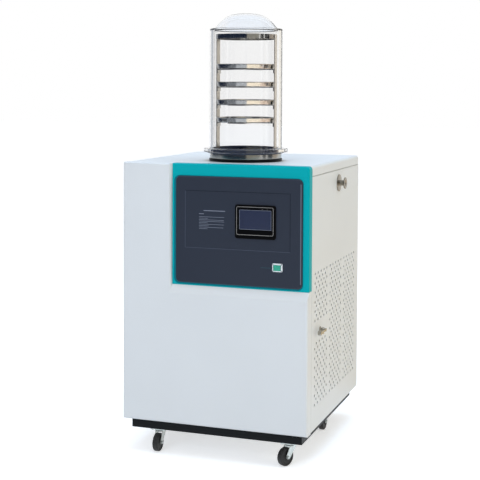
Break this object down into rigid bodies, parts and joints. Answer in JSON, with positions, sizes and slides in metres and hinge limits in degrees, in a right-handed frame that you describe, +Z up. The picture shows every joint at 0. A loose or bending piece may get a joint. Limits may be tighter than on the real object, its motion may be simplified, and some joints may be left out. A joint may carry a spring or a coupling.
{
  "type": "freeze dryer",
  "caption": "Floor-standing laboratory freeze dryer: sheet-metal cabinet on swivel castors, raised control plate, cold trap with a clear domed drying chamber and tray rack on top.",
  "frame": {"origin": "on the floor under the centre of the part's bounding box", "axes": "+Z up, the control front looks along -Y, +X is to the right of someone facing it"},
  "size_m": [0.6644, 0.68, 1.4663],
  "materials": {
    "front_paint": "satin powder coat",
    "casing_paint": "satin powder coat",
    "teal_paint": "satin powder coat",
    "plate_grey": "matt lacquer",
    "black_paint": "satin",
    "black_plastic": "semi-gloss",
    "white_plastic": "semi-gloss",
    "green_plastic": "translucent gloss",
    "screen_glass": "glossy screen",
    "stainless": "brushed",
    "zinc": "zinc plated",
    "copper": "bright copper tube",
    "rubber": "matt",
    "tread": "matt",
    "foam": "closed-cell foam",
    "acrylic": "clear polished"
  },
  "bodies": {
    "cabinet": {"base_frame": "black_paint", "base_pan": "zinc", "front_panel": "front_paint", "control_surround": "teal_paint", "control_plate": "plate_grey", "touch_screen": "black_plastic", "screen_glass": "screen_glass", "power_switch_frame": "white_plastic", "top_cover": "front_paint", "right_side_panel": "casing_paint", "left_side_panel": "casing_paint", "rear_panel": "casing_paint", "power_inlet": "black_plastic", "vacuum_port": "stainless", "vacuum_pipe": "rubber", "drain_valve": "stainless", "drain_pipe": "rubber", "compressor": "black_paint", "suction_pipe": "copper", "discharge_pipe": "copper", "control_enclosure": "zinc", "upright_front_left": "zinc", "upright_front_right": "zinc", "upright_rear_right": "zinc", "upright_rear_left": "zinc", "condenser": "zinc", "fan_shroud": "black_paint", "fan_motor": "black_paint", "deck_gasket": "rubber", "cold_trap": "stainless", "evaporator_coil": "copper", "trap_insulation": "foam", "jar_seal": "rubber", "bell_jar": "acrylic", "jar_dome": "acrylic", "rack_frame": "stainless", "rack_shelf_1": "stainless", "tray_1": "stainless", "rack_shelf_2": "stainless", "tray_2": "stainless", "rack_shelf_3": "stainless", "tray_3": "stainless", "rack_shelf_4": "stainless", "tray_4": "stainless", "caster_plate_front_left": "zinc", "caster_plate_front_right": "zinc", "caster_plate_rear_left": "zinc", "caster_plate_rear_right": "zinc"},
    "fan": {"fan_impeller": "zinc"},
    "power_rocker": {"power_rocker": "green_plastic"},
    "drain_lever": {"drain_valve_lever": "stainless"},
    "caster_front_left": {"caster_fork_front_left": "zinc"},
    "wheel_front_left": {"caster_wheel_front_left": "tread"},
    "caster_front_right": {"caster_fork_front_right": "zinc"},
    "wheel_front_right": {"caster_wheel_front_right": "tread"},
    "caster_rear_left": {"caster_fork_rear_left": "zinc"},
    "wheel_rear_left": {"caster_wheel_rear_left": "tread"},
    "caster_rear_right": {"caster_fork_rear_right": "zinc"},
    "wheel_rear_right": {"caster_wheel_rear_right": "tread"}
  },
  "joints": [
    {"name": "fan_spin", "type": "hinge", "parent": "cabinet", "child": "fan", "pos_m": [0.24275, 0.11, 0.287], "axis": [1, 0, 0], "continuous": true},
    {"name": "power_rocker_tilt", "type": "hinge", "parent": "cabinet", "child": "power_rocker", "pos_m": [0.20525, -0.3326, 0.643], "axis": [0, 0, 1], "range_deg": [-18, 0]},
    {"name": "drain_lever_turn", "type": "hinge", "parent": "cabinet", "child": "drain_lever", "pos_m": [0.31975, -0.194, 0.4255], "axis": [1, 0, 0], "range_deg": [0, 90]},
    {"name": "caster_swivel_front_left", "type": "hinge", "parent": "cabinet", "child": "caster_front_left", "pos_m": [-0.21725, -0.285, 0.066], "axis": [0, 0, 1], "continuous": true},
    {"name": "wheel_spin_front_left", "type": "hinge", "parent": "caster_front_left", "child": "wheel_front_left", "pos_m": [-0.21725, -0.308, 0.03], "axis": [1, 0, 0], "continuous": true},
    {"name": "caster_swivel_front_right", "type": "hinge", "parent": "cabinet", "child": "caster_front_right", "pos_m": [0.23675, -0.285, 0.066], "axis": [0, 0, 1], "continuous": true},
    {"name": "wheel_spin_front_right", "type": "hinge", "parent": "caster_front_right", "child": "wheel_front_right", "pos_m": [0.22631, -0.30549, 0.03], "axis": [0.891, -0.454, 0], "continuous": true},
    {"name": "caster_swivel_rear_left", "type": "hinge", "parent": "cabinet", "child": "caster_rear_left", "pos_m": [-0.21725, 0.14, 0.066], "axis": [0, 0, 1], "continuous": true},
    {"name": "wheel_spin_rear_left", "type": "hinge", "parent": "caster_rear_left", "child": "wheel_rear_left", "pos_m": [-0.21725, 0.117, 0.03], "axis": [1, 0, 0], "continuous": true},
    {"name": "caster_swivel_rear_right", "type": "hinge", "parent": "cabinet", "child": "caster_rear_right", "pos_m": [0.23675, 0.14, 0.066], "axis": [0, 0, 1], "continuous": true},
    {"name": "wheel_spin_rear_right", "type": "hinge", "parent": "caster_rear_right", "child": "wheel_rear_right", "pos_m": [0.23675, 0.117, 0.03], "axis": [1, 0, 0], "continuous": true}
  ]
}
